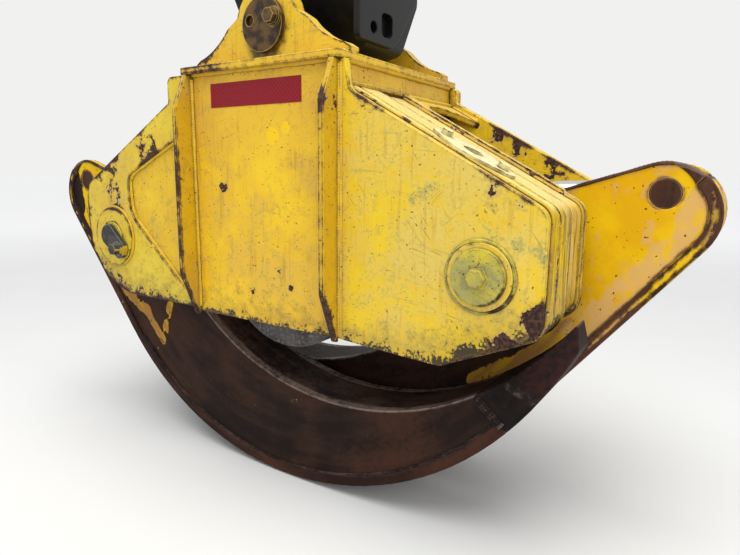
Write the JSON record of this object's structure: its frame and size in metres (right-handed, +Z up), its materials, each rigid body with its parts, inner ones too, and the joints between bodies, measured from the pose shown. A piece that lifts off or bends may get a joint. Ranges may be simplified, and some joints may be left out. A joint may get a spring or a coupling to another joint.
{
  "type": "log grapple",
  "caption": "Log grapple with a boxed steel head, overlapping curved tongs worked by cylinders, a rotator and a pinned boom link above.",
  "frame": {"origin": "centre of the boom pin bore in the link on top", "axes": "+Z up, +X along the head and along the boom pin bore, -Y towards the side with the reflective strip"},
  "size_m": [2.0074, 0.696, 1.6968],
  "materials": {
    "yellow_paint": "weathered and chipped",
    "worn_steel": "rusty, polished by use",
    "black_paint": "weathered",
    "pin_steel": "oily and rusty",
    "chromed_rod": "polished",
    "dusty_steel": "dusty",
    "reflective_film": "retroreflective"
  },
  "bodies": {
    "link": {"boom_link": "black_paint", "swivel_plate": "black_paint"},
    "rotator": {"rotator_drum": "black_paint", "rotator_block": "black_paint", "rotator_bracket": "black_paint"},
    "tong_a": {"tong_a_cheeks": "worn_steel", "tong_a_wrapper": "worn_steel", "tong_a_liner": "worn_steel", "tong_a_tip": "worn_steel", "tong_a_hub": "yellow_paint", "tong_a_ear_pin": "worn_steel"},
    "tong_b": {"tong_b_cheeks": "worn_steel", "tong_b_wrapper": "worn_steel", "tong_b_liner": "worn_steel", "tong_b_tip": "worn_steel", "tong_b_hub": "yellow_paint", "tong_b_ear_pin": "worn_steel"},
    "barrel_a": {"barrel_a": "black_paint"},
    "rod_a": {"rod_a": "chromed_rod"},
    "barrel_b": {"barrel_b": "black_paint"},
    "rod_b": {"rod_b": "chromed_rod"},
    "head": {"top_plate": "yellow_paint", "front_panel": "yellow_paint", "rear_panel": "yellow_paint", "right_side_wall": "yellow_paint", "left_side_wall": "yellow_paint", "front_ribs": "yellow_paint", "rear_ribs": "yellow_paint", "belly_plate": "dusty_steel", "front_wing_face": "yellow_paint", "front_wing_shell": "yellow_paint", "front_wing_back": "yellow_paint", "front_wing_cover": "yellow_paint", "rear_wing_face": "yellow_paint", "rear_wing_shell": "yellow_paint", "rear_wing_back": "yellow_paint", "rear_wing_cover": "yellow_paint", "front_pivot_plate": "yellow_paint", "front_pivot_doubler": "yellow_paint", "front_slot_bridge": "yellow_paint", "rear_pivot_plate": "yellow_paint", "rear_pivot_doubler": "yellow_paint", "rear_slot_bridge": "yellow_paint", "front_hanger_lug": "yellow_paint", "rear_hanger_lug": "yellow_paint", "front_hanger_pin": "pin_steel", "rear_hanger_pin": "pin_steel", "tong_pin_a": "pin_steel", "tong_pin_b": "pin_steel", "pin_flag_a": "pin_steel", "pin_flag_b": "pin_steel", "anchor_pin_a": "pin_steel", "anchor_pin_b": "pin_steel", "reflective_strip": "reflective_film"}
  },
  "joints": [
    {"name": "rotator_spin", "type": "hinge", "parent": "link", "child": "rotator", "pos_m": [0, 0, -0.118], "axis": [0, 0, 1], "continuous": true},
    {"name": "head_swing", "type": "hinge", "parent": "rotator", "child": "head", "pos_m": [0, 0, -0.421], "axis": [0, 1, 0], "range_deg": [-12, 12]},
    {"name": "tong_a_open", "type": "hinge", "parent": "head", "child": "tong_a", "pos_m": [-0.605, -0.12, -0.98], "axis": [0, 1, 0], "range_deg": [0, 110]},
    {"name": "barrel_a_swing", "type": "hinge", "parent": "head", "child": "barrel_a", "pos_m": [0.54, -0.12, -0.86], "axis": [0, 1, 0], "range_deg": [0, 4.96]},
    {"name": "rod_a_slide", "type": "slide", "parent": "barrel_a", "child": "rod_a", "axis": [0.9995, 0, -0.0328], "range_m": [0, 0.538]},
    {"name": "tong_b_open", "type": "hinge", "parent": "head", "child": "tong_b", "pos_m": [0.605, 0.12, -0.98], "axis": [0, -1, 0], "range_deg": [0, 110]},
    {"name": "barrel_b_swing", "type": "hinge", "parent": "head", "child": "barrel_b", "pos_m": [-0.54, 0.12, -0.86], "axis": [0, -1, 0], "range_deg": [0, 4.96]},
    {"name": "rod_b_slide", "type": "slide", "parent": "barrel_b", "child": "rod_b", "axis": [-0.9995, 0, -0.0328], "range_m": [0, 0.538]}
  ],
  "couplings": [
    {"joint": "barrel_a_swing", "follows": "tong_a_open", "ratio": 0.045},
    {"joint": "rod_a_slide", "follows": "tong_a_open", "m_per_rad": 0.27961},
    {"joint": "barrel_b_swing", "follows": "tong_b_open", "ratio": 0.045},
    {"joint": "rod_b_slide", "follows": "tong_b_open", "m_per_rad": 0.27961}
  ]
}
